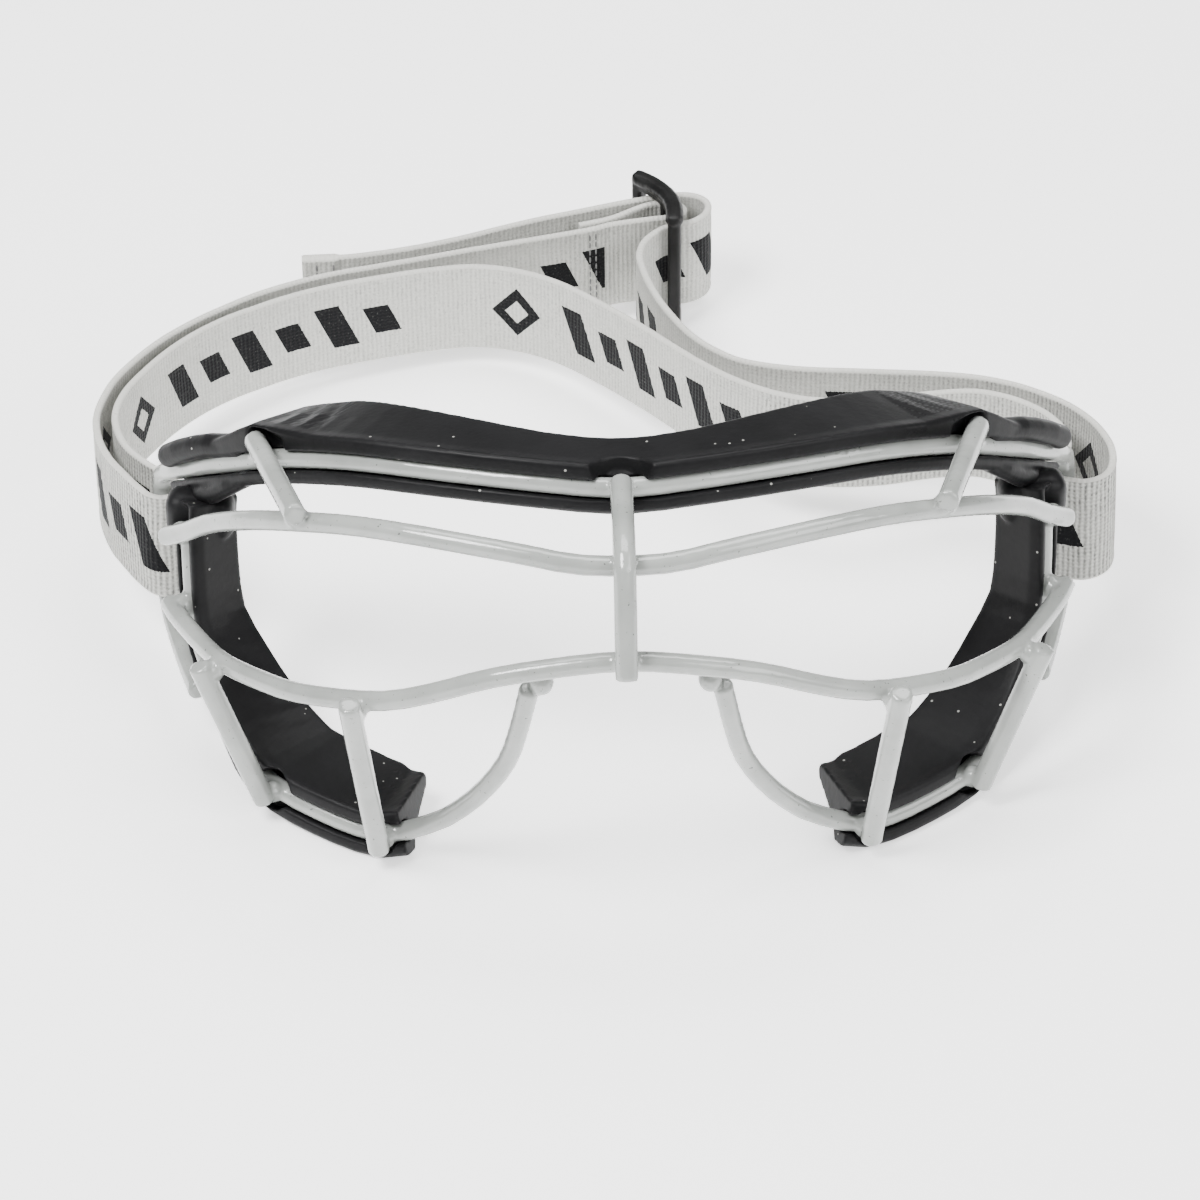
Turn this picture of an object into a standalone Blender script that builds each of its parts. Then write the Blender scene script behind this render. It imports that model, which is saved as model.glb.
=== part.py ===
"""Sports protective goggles: a welded wire cage, push-on rubber pads and an elastic strap.

The cage and the pads are drawn in the goggles' own frame, with the middle of the brow wire at
the origin, +Y towards the face and +Z up. Left and right are as seen from in front, so right
is +X, which is the wearer's left. The goggles lie at rest leaning back on their cheek pads and
on the strap slider, so that frame hangs under an empty that leans it. The strap is drawn in
the resting frame. Both use millimetres; world units are metres. The world origin is under the
middle of the whole object, at the surface it rests on.
"""

import math

import bmesh
import bpy
from mathutils import Matrix, Vector

MM = 0.001

# Rest pose
LEAN = math.radians(16.0)        # the cage leans back from upright by this much
CAGE_LIFT = 71.7                 # height of the brow wire's middle above the surface
CENTRE_X = -2.30                 # middle of the whole object, from the brow wire's middle
CENTRE_Y = 65.53

# Cage
BAR_D = 3.4                      # long bars
STRUT_D = 3.8                    # short struts
TUBE_STEP = 4.5
HEAD_AXIS_Y = 88.0               # the brow wire curves about the head, this far behind it

# Rubber pads
CHANNEL_R = 2.2                  # groove that grips the wire
LIP_FRONT = -2.0                 # front face of the lips, from the wire's centre
FLANGE_T = 2.9

# Strap
STRAP_W = 20.0
STRAP_T = 1.5
STRAP_STEP = 5.0
MOST_TURN = math.radians(14.0)    # between one station and the next
WRAP_SPARE = 16.0                # webbing past each wrap, before it is cut round
TAIL_GAP = 0.9
BACK_EDGE = 24.1                 # height of the strap's top edge at the back
HINGE_Y, HINGE_Z = 49.35, -46.0  # axis that the strap swings about, through both anchors
CUT_R = 14.0                     # the fixed wrap ends and the moving strap starts here
CUT_GAP = 0.35

# Slider
SLIDER_R = 16.2                  # bowed plate, about a vertical axis
SLIDER_X, SLIDER_Y = -1.3, 152.6
SLIDER_H = 28.2
SLIDER_T = 2.6
RAIL_H = 3.7
BAR_ANGLES = (-9.0, 23.0, 55.0)
BAR_HALF = 3.9                   # degrees
TAIL_JOINT_X, TAIL_JOINT_Y = 6.5, 162.4

# Control points, right half, in the goggles' frame
BROW = ((0, 0, 0), (14, 1, 1), (31.5, 6, 1.6), (47, 13.6, 1), (60, 23.6, -2), (70.5, 35, -7),
        (78, 46.3, -12), (82.3, 54.5, -15.6), (83.6, 59.4, -18.6), (83.6, 60.1, -23),
        (83.6, 60.1, -32), (83.6, 60.1, -41.5), (82.9, 57.9, -45.5), (81, 51, -48.6),
        (79, 43.5, -50.8), (77.2, 36.5, -51.8))
CHEEK = ((77.2, 37.1, -19.6), (77.2, 37.1, -30), (76.8, 36.8, -38), (75.2, 35, -45),
         (72.3, 31.5, -52), (68.8, 27, -58), (64.3, 21.5, -63), (56, 15, -65.9),
         (44, 8, -67.9), (34.5, 4.5, -64.8), (28.5, 0.3, -59.7), (23.8, -4.7, -53.2),
         (20.5, -9.2, -46.6), (18.7, -14, -39.6), (17.4, -18.4, -33), (16.5, -21, -28.4))
UPPER = ((0, -21, -6.2), (8.5, -20.8, -5.8), (17.5, -19.6, -4.2), (34, -14.5, -2.6),
         (46, -8, -2.9), (56, 0, -5), (64.7, 10, -8.4), (72.3, 22, -13.4), (78, 31.5, -18.7),
         (81.6, 37, -21.5))
LOWER = ((0, -25, -22), (17, -24, -24), (25.5, -22, -26.4), (34, -18.5, -30), (43, -14, -33),
         (56.5, -5, -35), (64.2, 4, -36), (70.8, 13.5, -36.6), (75.2, 22.5, -36.4),
         (79.8, 32.5, -35.3), (81.6, 37.5, -34.6))
CENTRE = ((0, -3.7, 2.4), (0, -12, 0.5), (0, -20.2, -1.7), (0, -24.8, -4.2), (0, -26.3, -9),
          (0, -27.8, -16), (0, -29.3, -23.6))
UPPER_STRUT = ((64.2, 26.0, 0.6), (56.0, -5.2, -1.8))
INNER_STRUT = ((47.5, -17.2, -32.3), (43.9, 3.7, -69.3))
OUTER_STRUT = ((74.9, 11.4, -36.4), (64.6, 16.7, -65.2))

# Pad sections at marked points along their wires: where, flange (into the face, up), lips
BROW_SECTIONS = ((0, 9, 6, 4.8, 4.5), (14, 9.2, 5.9, 4.8, 4.5), (31, 11.5, 6.3, 4.8, 4.5),
                 (52, 13.8, 6.8, 4.8, 4.5), (62.5, 12.3, 6.6, 6.9, 4.4), (70, 9.2, 5.3, 4.6, 4.3),
                 (81, 4.4, 3.6, 3.9, 3.9))
SIDE_TOP = ((76.8, 37.5, -14.8), (77.1, 37.3, -18.9))   # above the cheek wire's end
SIDE_SECTIONS = ((0, 9.4, 1, 3.6, 3.6, -1.8, 0), (4.2, 9.4, 1, 3.6, 3.6, -1.6, 1),
                 (22, 9.8, 1, 3.6, 3.4, -1.6, 1), (32, 12, 2.4, 3.7, 3.4, -1.6, 1),
                 (43, 13.4, 4.4, 4.2, 3.2, -2.0, 1),
                 (52, 14.4, 6.2, 4.6, 4.6, -2.0, 1), (64, 15, 7, 4.6, 4.6, -2.0, 1),
                 (78, 15, 7, 4.6, 4.6, -2.0, 1), (88, 13, 6, 4.4, 4.4, -2.0, 1))

# The webbing's route seen from above, top edge, from its sewn end to its hemmed tail
SEWN_END = ((-4.6, 153.9), (0.2, 155.4), (3.6, 157.1), (7, 159.4), (10, 161), (13, 161.5),
            (15.6, 160.8), (16.9, 158.9), (16, 156.8), (13.2, 156.1), (9.6, 155.5))
OUTER_LEFT = ((6, 154.8), (2, 153.9), (-2, 152.3), (-6.3, 151), (-12.8, 149.3), (-20.9, 147.2),
              (-29.2, 145), (-37, 142.8), (-45, 140.6), (-54.9, 137.6), (-63.5, 133.7),
              (-71.3, 128.8), (-79.3, 121.8), (-86.3, 113.5), (-91.4, 105), (-94.9, 97),
              (-96.9, 88.5), (-97.7, 80), (-96.6, 71), (-94, 62.8), (-90.6, 56.6))
WRAP_LEFT = ((-87.8, 52.3), (-85.9, 50.0), (-83.6, 49.15), (-81.4, 50.1), (-80.7, 52.1),
             (-81.3, 54.4))
INNER_RUN = ((-83.7, 57.4), (-87.2, 61.2), (-91.2, 67.6), (-93.5, 75), (-94.2, 81.7),
             (-93.5, 88.2), (-91.7, 94.7), (-88.6, 102), (-85, 108.6), (-80.6, 114.8),
             (-75.3, 120.4), (-70, 124.6), (-63, 129), (-54.8, 132.8), (-44.9, 136),
             (-34.9, 138.6), (-25.7, 139.6), (-16.9, 137.3), (-9, 132.3), (-1.2, 124.3),
             (6.4, 114.6), (15.2, 102), (23, 91.9), (31, 84.8), (40, 81), (51, 80.8),
             (62, 83), (69.5, 83.4), (74.6, 81.4), (79, 77.8), (82.6, 73), (84.8, 67.4),
             (85.3, 62.4), (84.3, 58))
WRAP_RIGHT = ((81.6, 54.6), (80.7, 52.1), (81.4, 50.1), (83.7, 49.0), (87.2, 48.2))
OUTER_RIGHT = ((90.7, 50), (92.7, 54), (93, 60.6), (90.9, 69.4), (86.5, 77.5), (80, 84.1),
               (74.4, 87.7), (68.6, 90), (60, 91.7), (47.8, 93.2), (36.6, 94.7), (27.2, 98),
               (21.3, 103), (16.2, 110.5), (12, 121), (9.1, 131), (7.7, 138.5), (7.4, 143.4),
               (8.8, 148), (11.9, 151.7), (15.2, 153.5), (18.4, 154.4), (21, 156.8),
               (21.9, 160.2), (20.6, 163), (17.6, 164.3), (13, 164.1), (9, 163.1))
TAIL = ((3.1, 161.4), (-4.8, 158.8), (-12.7, 156.3), (-20.8, 153.2), (-29.2, 149.8),
        (-40, 146.4), (-51, 144.2), (-60.6, 143.6))


def clear_scene():
    for thing in list(bpy.data.objects):
        bpy.data.objects.remove(thing, do_unlink=True)


def principled(name, colour, roughness, metallic=0.0):
    material = bpy.data.materials.new(name)
    material.use_nodes = True
    shader = material.node_tree.nodes["Principled BSDF"]
    shader.inputs["Base Color"].default_value = (*colour, 1.0)
    shader.inputs["Roughness"].default_value = roughness
    shader.inputs["Metallic"].default_value = metallic
    return material


def mirrored(points):
    """The same stretch on the left, in the same order."""
    return [(-x, y, z) for x, y, z in points]


def both_halves(points):
    """A route across the middle, from a half that starts there."""
    return mirrored(points)[:0:-1] + list(points)


def catmull_rom(points, per_span=12):
    """A smooth curve through hand-set points, as closely spaced points."""
    knots = [Vector(p) for p in points]
    knots = [knots[0] * 2 - knots[1]] + knots + [knots[-1] * 2 - knots[-2]]
    curve = []
    for a, b, c, d in zip(knots, knots[1:], knots[2:], knots[3:]):
        for k in range(per_span):
            t = k / per_span
            curve.append(0.5 * (2 * b + (c - a) * t + (2 * a - 5 * b + 4 * c - d) * t * t
                                + (3 * b - a - 3 * c + d) * t ** 3))
    curve.append(knots[-2])
    return curve


def respaced(curve, step):
    """Points at even distances along a curve, both ends kept."""
    lengths = [0.0]
    for a, b in zip(curve, curve[1:]):
        lengths.append(lengths[-1] + (b - a).length)
    count = max(1, round(lengths[-1] / step))
    evenly, k = [], 0
    for i in range(count + 1):
        want = lengths[-1] * i / count
        while k < len(curve) - 2 and lengths[k + 1] < want:
            k += 1
        span = max(lengths[k + 1] - lengths[k], 1e-9)
        evenly.append(curve[k].lerp(curve[k + 1], (want - lengths[k]) / span))
    return evenly


def distances(points):
    total, marks = 0.0, [0.0]
    for a, b in zip(points, points[1:]):
        total += (b - a).length
        marks.append(total)
    return marks


def between(rows, where):
    """Values read from rows of (where, value, ...), with straight lines between rows."""
    if where <= rows[0][0]:
        return rows[0][1:]
    for low, high in zip(rows, rows[1:]):
        if where <= high[0]:
            t = (where - low[0]) / (high[0] - low[0])
            return tuple(a + (b - a) * t for a, b in zip(low[1:], high[1:]))
    return rows[-1][1:]


def add_object(name, data, material, parent):
    obj = bpy.data.objects.new(name, data)
    bpy.context.collection.objects.link(obj)
    if material:
        obj.data.materials.append(material)
    obj.parent = parent
    return obj


def hang(obj, axis):
    """Puts an object under the empty on its joint's axis, and leaves it where it is."""
    bpy.context.view_layer.update()
    place = obj.matrix_world.copy()
    obj.parent = axis
    obj.matrix_parent_inverse = axis.matrix_world.inverted()
    obj.matrix_basis = place


def empty(name, location, rotation=(0, 0, 0)):
    holder = bpy.data.objects.new(name, None)
    bpy.context.collection.objects.link(holder)
    holder.location = location
    holder.rotation_euler = rotation
    bpy.context.view_layer.update()
    return holder


def bar_route(points, step=TUBE_STEP):
    """Centres along a bent bar. The pad on a bar uses the same ones."""
    return respaced(catmull_rom(points), step)


def tube(name, points, diameter, material, parent, step=TUBE_STEP):
    """A bar of round wire, as a bevelled curve with filled ends."""
    route = bar_route(points, step) if len(points) > 2 else [Vector(p) for p in points]
    data = bpy.data.curves.new(name, "CURVE")
    data.dimensions = "3D"
    data.bevel_depth = diameter / 2 * MM
    data.bevel_resolution = 3
    data.use_fill_caps = True
    data.render_resolution_u = 0
    spline = data.splines.new("POLY")
    spline.points.add(len(route) - 1)
    for point, place in zip(spline.points, route):
        point.co = (*(place * MM), 1.0)
    spline.use_smooth = True
    return add_object(name, data, material, parent)


def skinned(name, rings, material, parent, smooth=35.0):
    """A closed solid through a row of rings with the same number of points."""
    mesh = bmesh.new()
    loops = [[mesh.verts.new(p * MM) for p in ring] for ring in rings]
    count = len(loops[0])
    for near, far in zip(loops, loops[1:]):
        for i in range(count):
            j = (i + 1) % count
            mesh.faces.new((near[i], near[j], far[j], far[i]))
    mesh.faces.new(reversed(loops[0]))
    mesh.faces.new(loops[-1])
    bmesh.ops.recalc_face_normals(mesh, faces=mesh.faces)
    data = bpy.data.meshes.new(name)
    mesh.to_mesh(data)
    mesh.free()
    data.shade_smooth()
    data.set_sharp_from_angle(angle=math.radians(smooth))
    return add_object(name, data, material, parent)


def pad_outline(flange_in, flange_up, upper, lower, front=LIP_FRONT, grip=1.0):
    """Section of a pad: x into the face, y up. A groove open to the front holds the wire."""
    groove = []
    for degrees in (128, 90, 45, 0, -45, -90, -128):
        angle = math.radians(degrees)
        x = CHANNEL_R * math.cos(angle)
        groove.append((front + (x - front) * grip, CHANNEL_R * math.sin(angle)))
    slope = flange_up / flange_in
    under = min(4.4 * slope - FLANGE_T - 0.3, -1.0)
    return groove + [(front, -CHANNEL_R + 0.2), (front, 0.9 - lower), (front + 0.9, -lower),
                     (2.3, -lower), (4.4, max(under, -lower)),
                     (flange_in - 0.5, flange_up - 0.85 * FLANGE_T),
                     (flange_in + 0.2, flange_up - 0.45 * FLANGE_T),
                     (flange_in - 0.3, flange_up), (0.6, upper), (front + 0.3, upper - 0.1),
                     (front - 0.1, upper - 0.6), (front, CHANNEL_R - 0.2)]


def pad_rings(route, outlines, up_sign):
    """Pad sections set along a wire, facing the head's axis."""
    rings = []
    for i, (place, outline) in enumerate(zip(route, outlines)):
        along = (route[min(i + 1, len(route) - 1)] - route[max(i - 1, 0)]).normalized()
        inward = Vector((-place.x, HEAD_AXIS_Y - place.y, 0)).normalized()
        inward = (inward - along * inward.dot(along)).normalized()
        up = along.cross(inward) * up_sign
        rings.append([place + inward * x + up * y for x, y in outline])
    return rings


def notch(name, place, away, low, high, narrow, wide, parent):
    """Conical cutter that opens a pad round a strut, from narrow at the wire to wide outside."""
    across = away.cross(Vector((0, 0, 1))).normalized()
    up = across.cross(away)
    rings = []
    for depth, radius in ((low, narrow), (high, wide)):
        circle = [math.tau * k / 20 for k in range(20)]
        rings.append([place + away * depth + (across * math.cos(a) + up * math.sin(a)) * radius
                      for a in circle])
    cutter = skinned(name, rings, None, parent)
    cutter.hide_render = True
    cutter.display_type = "WIRE"
    return cutter


def cut(obj, cutter, operation="DIFFERENCE"):
    boolean = obj.modifiers.new("cut", "BOOLEAN")
    boolean.operation = operation
    boolean.solver = "EXACT"
    boolean.object = cutter


def make_cage(steel, cage):
    tube("brow_wire", both_halves(BROW), BAR_D, steel, cage)
    tube("upper_front_bar", both_halves(UPPER), BAR_D, steel, cage)
    tube("lower_front_bar", both_halves(LOWER), BAR_D, steel, cage)
    tube("centre_bar", CENTRE, STRUT_D, steel, cage, step=2.4)
    for side, place in (("right", list), ("left", mirrored)):
        tube("%s_cheek_wire" % side, place(CHEEK), BAR_D, steel, cage)
        tube("upper_strut_%s" % side, place(UPPER_STRUT), STRUT_D, steel, cage)
        tube("lower_inner_strut_%s" % side, place(INNER_STRUT), STRUT_D, steel, cage)
        tube("lower_outer_strut_%s" % side, place(OUTER_STRUT), STRUT_D, steel, cage)


def make_brow_pad(rubber, cage):
    route = [p for p in bar_route(both_halves(BROW)) if abs(p.x) < 81.6 and p.z > -17]
    outlines = [pad_outline(*between(BROW_SECTIONS, abs(p.x))) for p in route]
    pad = skinned("brow_pad", pad_rings(route, outlines, 1), rubber, cage)
    scoop = Vector((0, -0.72, 0.69)).normalized()
    cut(pad, notch("notch_middle", Vector((0, -0.6, 1.2)), scoop, -1, 7, 3.0, 8.4, cage))
    for side in (1, -1):
        forward = Vector((side * -0.25, -0.965, -0.07)).normalized()
        place = Vector((side * 64.2, 26.0, 0.6))
        cut(pad, notch("notch_strut", place, forward, -0.6, 7, 2.6, 4.6, cage))


def make_side_pad(side, sign, rubber, cage):
    wire = bar_route([(sign * x, y, z) for x, y, z in CHEEK])[1:]
    route = [Vector((sign * x, y, z)) for x, y, z in SIDE_TOP] + wire
    kept = [(p, m) for p, m in zip(route, distances(route)) if m <= SIDE_SECTIONS[-1][0]]
    outlines = [pad_outline(*between(SIDE_SECTIONS, m)) for _, m in kept]
    rings = pad_rings([p for p, _ in kept], outlines, -sign)
    pad = skinned("%s_side_pad" % side, rings, rubber, cage)
    for place, radius in (((62.6, 18.8, -63.9), 3.4), ((43.8, 6.2, -68.1), 3.0)):
        forward = Vector((sign * 0.5, -0.8, 0.3)).normalized()
        spot = Vector((sign * place[0], place[1], place[2])) - forward * 2
        cut(pad, notch("notch_%s" % side, spot, forward, 0, 6, radius, radius + 1, cage))
    return pad


def flat_foot(pad, table):
    """Trims a pad level with the surface that it rests on."""
    bpy.ops.mesh.primitive_cube_add(size=1, location=(0, -0.02, -0.02))
    block = bpy.context.object
    block.name = "surface_cutter"
    block.scale = (0.3, 0.2, 0.04)
    block.parent = table
    block.matrix_parent_inverse = table.matrix_world.inverted()
    block.hide_render = True
    block.display_type = "WIRE"
    cut(pad, block)


def top_edge(place):
    """Height of the webbing's top edge: high at the temples, low at the back."""
    rows = ((45, 35.7), (60, 34.9), (75, 32.6), (100, 28.4), (125, 25.2), (140, BACK_EDGE))
    return between(rows, place.y)[0] - CAGE_LIFT


def webbing_route():
    """The whole webbing's top edge, and the length along it at which each stretch ends."""
    stretches = (SEWN_END + OUTER_LEFT, WRAP_LEFT, INNER_RUN, WRAP_RIGHT, OUTER_RIGHT, TAIL)
    curve = catmull_rom([(x, y, 0.0) for stretch in stretches for x, y in stretch])
    marks = distances(curve)
    ends, knots = [], 0
    for stretch in stretches:
        knots += len(stretch)
        ends.append(marks[min(knots * 12 - 6, len(marks) - 1)])
    route = respaced(curve, 0.8)
    for place in route:
        place.z = top_edge(place)
    return route, ends


def stations(route, start, stop):
    """Places along a stretch of a route, closer together where it turns."""
    marks = distances([p.xy for p in route])
    inside = [p for p, m in zip(route, marks) if start <= m <= stop]
    kept, turned, gone = [inside[0]], 0.0, 0.0
    for before, here, after in zip(inside, inside[1:], inside[2:]):
        turned += (here - before).angle(after - here)
        gone += (here - before).length
        if turned > MOST_TURN or gone > STRAP_STEP:
            kept.append(here)
            turned = gone = 0.0
    return kept + [inside[-1]]


def webbing(name, route, start, stop, fabric, parent):
    """One stretch of the webbing, as a flat strip standing on edge."""
    pieces = stations(route, start, stop)
    rings = []
    for i, place in enumerate(pieces):
        along = pieces[min(i + 1, len(pieces) - 1)] - pieces[max(i - 1, 0)]
        along.z = 0
        lean = LEAN * min(1.0, max(0.0, 1 - (place.y - 54) / 34))
        up = Vector((0, math.sin(lean), math.cos(lean)))
        aside = along.cross(up).normalized() * (STRAP_T / 2)
        foot = place - up * STRAP_W
        rings.append([place + aside, place - aside, foot - aside, foot + aside])
    return skinned(name, rings, fabric, parent)


def round_cutter(name, radius, parent):
    """A cylinder on the strap's swing axis."""
    bpy.ops.mesh.primitive_cylinder_add(vertices=48, radius=radius * MM, depth=0.3)
    cutter = bpy.context.object
    cutter.name = name
    cutter.rotation_euler = (0, math.pi / 2, 0)
    cutter.location = (0, HINGE_Y * MM, HINGE_Z * MM)
    cutter.parent = parent
    cutter.hide_render = True
    cutter.display_type = "WIRE"
    return cutter


def make_strap(fabric, table, swing, tail_axis):
    route, (left, wrap_left, run, wrap_right, right, tip) = webbing_route()
    fixed = round_cutter("wrap_cutter", CUT_R, table)
    moving = round_cutter("strap_cutter", CUT_R + CUT_GAP, table)
    for name, start, stop in (("strap_wrap_left", left, wrap_left),
                              ("strap_wrap_right", run, wrap_right)):
        wrap = webbing(name, route, start - WRAP_SPARE, stop + WRAP_SPARE, fabric, table)
        cut(wrap, fixed, "INTERSECT")
    for name, start, stop in (("strap_outer_left", 0, left), ("strap_inner_run", wrap_left, run),
                              ("strap_outer_right", wrap_right, right - TAIL_GAP)):
        strip = webbing(name, route, start, stop, fabric, table)
        cut(strip, moving)
        hang(strip, swing)
    hang(webbing("strap_tail", route, right, tip, fabric, table), tail_axis)


def slider_point(degrees, height):
    angle = math.radians(degrees)
    return Vector((SLIDER_X + SLIDER_R * math.cos(angle), SLIDER_Y + SLIDER_R * math.sin(angle),
                   height - CAGE_LIFT))


def make_slider(plastic, table, axis):
    """A bowed three-bar buckle: a curved plate with two windows, thickened both ways."""
    near, middle, far = BAR_ANGLES
    columns = [near - BAR_HALF, near + BAR_HALF]
    for start, stop in ((near + BAR_HALF, middle - BAR_HALF), (middle + BAR_HALF, far - BAR_HALF)):
        columns += [start + (stop - start) * k / 4 for k in range(1, 5)]
        columns.append(stop + 2 * BAR_HALF)
    levels = (0.0, RAIL_H, SLIDER_H - RAIL_H, SLIDER_H)
    solid = [i for i, (a, b) in enumerate(zip(columns, columns[1:]))
             if any(abs((a + b) / 2 - bar) < BAR_HALF / 2 for bar in BAR_ANGLES)]
    mesh = bmesh.new()
    grid = [[mesh.verts.new(slider_point(c, z) * MM) for z in levels] for c in columns]
    for i in range(len(columns) - 1):
        for k in range(3):
            if k != 1 or i in solid:
                mesh.faces.new((grid[i][k], grid[i + 1][k], grid[i + 1][k + 1], grid[i][k + 1]))
    data = bpy.data.meshes.new("strap_slider")
    mesh.to_mesh(data)
    mesh.free()
    slider = add_object("strap_slider", data, plastic, table)
    thick = slider.modifiers.new("thickness", "SOLIDIFY")
    thick.thickness = SLIDER_T * MM
    thick.offset = 0
    soft = slider.modifiers.new("soft_edges", "BEVEL")
    soft.width = 0.35 * MM
    soft.segments = 1
    soft.limit_method = "ANGLE"
    hang(slider, axis)


def main():
    clear_scene()
    steel = principled("coated_steel", (0.50, 0.53, 0.50), 0.32, 0.0)
    rubber = principled("black_rubber", (0.017, 0.017, 0.019), 0.5)
    fabric = principled("elastic_webbing", (0.52, 0.52, 0.49), 0.9)
    plastic = principled("slider_plastic", (0.02, 0.02, 0.022), 0.4)
    shift = Vector((-CENTRE_X, -CENTRE_Y, CAGE_LIFT)) * MM
    cage = empty("cage_lean", shift, (-LEAN, 0, 0))
    table = empty("rest_frame", shift)
    swing = empty("strap_swing_axis", shift + Vector((0, HINGE_Y, HINGE_Z)) * MM)
    tilt = empty("slider_tilt_axis", shift + slider_point(BAR_ANGLES[1], SLIDER_H / 2) * MM)
    flap = empty("tail_axis", shift + Vector((TAIL_JOINT_X, TAIL_JOINT_Y, 14 - CAGE_LIFT)) * MM)
    make_cage(steel, cage)
    make_brow_pad(rubber, cage)
    for side, sign in (("right", 1), ("left", -1)):
        flat_foot(make_side_pad(side, sign, rubber, cage), table)
    make_strap(fabric, table, swing, flap)
    make_slider(plastic, table, tilt)


main()
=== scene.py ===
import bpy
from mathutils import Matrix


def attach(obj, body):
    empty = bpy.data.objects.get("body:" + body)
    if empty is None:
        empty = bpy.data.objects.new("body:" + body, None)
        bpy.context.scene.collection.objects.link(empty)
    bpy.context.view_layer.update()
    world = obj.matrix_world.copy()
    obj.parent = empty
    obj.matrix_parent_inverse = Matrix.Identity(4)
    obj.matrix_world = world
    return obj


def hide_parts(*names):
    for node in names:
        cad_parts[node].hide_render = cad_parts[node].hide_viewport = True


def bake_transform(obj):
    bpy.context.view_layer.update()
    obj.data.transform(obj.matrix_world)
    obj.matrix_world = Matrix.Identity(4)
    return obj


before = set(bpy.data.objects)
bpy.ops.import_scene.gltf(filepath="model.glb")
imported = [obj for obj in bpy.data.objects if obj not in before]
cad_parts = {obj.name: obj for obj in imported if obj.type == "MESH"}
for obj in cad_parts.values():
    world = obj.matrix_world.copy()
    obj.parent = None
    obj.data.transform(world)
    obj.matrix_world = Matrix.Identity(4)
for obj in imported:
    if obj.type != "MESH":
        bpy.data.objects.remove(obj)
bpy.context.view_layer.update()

import math

import bpy
from mathutils import Matrix, Vector

print("goggles: frame loaded")

mm = 0.001

# where the brow wire's middle stands, in mm, and how far the cage leans back, in degrees
rest = {"browX": 2.3, "browY": -65.53, "browZ": 71.7, "lean": 16.0}
# corners this many metres apart are merged, triangles within this many radians of flat
# are paired, and the beads of a roll stand this many mm apart
making = {"merge": 0.00001, "flat": 0.6, "beadPitch": 0.9}


def browPoint(x, y, z):
    # from the resting frame under the brow wire's middle to the scene, in metres
    return Vector((x + rest["browX"], y + rest["browY"], z + rest["browZ"])) * mm


def deselectAll():
    if bpy.context.mode != "OBJECT":
        bpy.ops.object.mode_set(mode="OBJECT")
    bpy.ops.object.select_all(action="DESELECT")
    bpy.context.view_layer.objects.active = None


def pick(*objs):
    deselectAll()
    for obj in objs:
        obj.select_set(True)
    bpy.context.view_layer.objects.active = objs[-1]


def applyAll(obj):
    pick(obj)
    for modifier in list(obj.modifiers):
        bpy.ops.object.modifier_apply(modifier=modifier.name)


def settle(obj):
    # the finished piece sits at the origin, unturned and unscaled
    pick(obj)
    bpy.ops.object.transform_apply(location=True, rotation=True, scale=True)


def nodeCopy(node, name):
    # an own copy of a CAD solid, its corners merged and its triangles paired up
    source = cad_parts[node]
    copy = bpy.data.objects.new(name, source.data.copy())
    bpy.context.collection.objects.link(copy)
    copy.data.materials.clear()
    pick(copy)
    bpy.ops.object.mode_set(mode="EDIT")
    bpy.ops.mesh.select_all(action="SELECT")
    bpy.ops.mesh.remove_doubles(threshold=making["merge"])
    bpy.ops.mesh.tris_convert_to_quads(face_threshold=making["flat"], shape_threshold=making["flat"])
    bpy.ops.object.mode_set(mode="OBJECT")
    return copy


def joined(name, *objs):
    pick(*objs)
    bpy.ops.object.join()
    whole = bpy.context.object
    whole.name = name
    whole.data.name = name
    return whole


def melt(obj, voxel, rounds, grow):
    # one skin over joined parts, relaxed so that the corners between them fill
    pick(obj)
    obj.data.remesh_voxel_size = voxel
    obj.data.remesh_voxel_adaptivity = 0
    bpy.ops.object.voxel_remesh()
    relax = obj.modifiers.new("relax", "SMOOTH")
    relax.factor = 0.5
    relax.iterations = rounds
    applyAll(obj)
    if grow:
        bpy.ops.object.mode_set(mode="EDIT")
        bpy.ops.mesh.select_all(action="SELECT")
        bpy.ops.transform.shrink_fatten(value=grow)
        bpy.ops.object.mode_set(mode="OBJECT")
    bpy.ops.object.shade_smooth()


def bead(name, place, size, turn=(0, 0, 0), detail=3):
    # a ball at a place in mm, stretched to these half sizes in mm and turned in degrees
    bpy.ops.mesh.primitive_ico_sphere_add(subdivisions=detail, radius=mm, location=Vector(place) * mm,
                                          rotation=[math.radians(a) for a in turn])
    blob = bpy.context.object
    blob.name = name
    blob.scale = size
    settle(blob)
    return blob


def beadChain(name, places, size, turn=(0, 0, 0)):
    # beads close enough along a bent line that the remesh makes one roll of them
    chain = []
    for a, b in zip(places, places[1:]):
        count = max(2, math.ceil((Vector(b) - Vector(a)).length / making["beadPitch"]))
        chain += [bead(name, Vector(a).lerp(Vector(b), k / count), size, turn, 2) for k in range(count)]
    chain.append(bead(name, places[-1], size, turn, 2))
    return chain


def newMaterial(name):
    material = bpy.data.materials.new(name)
    material.use_nodes = True
    tree = material.node_tree
    shader = tree.nodes["Principled BSDF"]

    def node(kind, **settings):
        made = tree.nodes.new(kind)
        for key, value in settings.items():
            if key in made.inputs:
                made.inputs[key].default_value = value
            else:
                setattr(made, key, value)
        return made

    def link(a, b):
        tree.links.new(a, b)
    return material, shader, node, link


def ramp(node, stops, kind="LINEAR"):
    made = node("ShaderNodeValToRGB")
    made.color_ramp.interpolation = kind
    points = made.color_ramp.elements
    while len(points) < len(stops):
        points.new(0.5)
    for point, (place, grey) in zip(points, stops):
        point.position = place
        colour = grey if isinstance(grey, tuple) else (grey, grey, grey)
        point.color = (*colour, 1)
    return made


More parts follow.
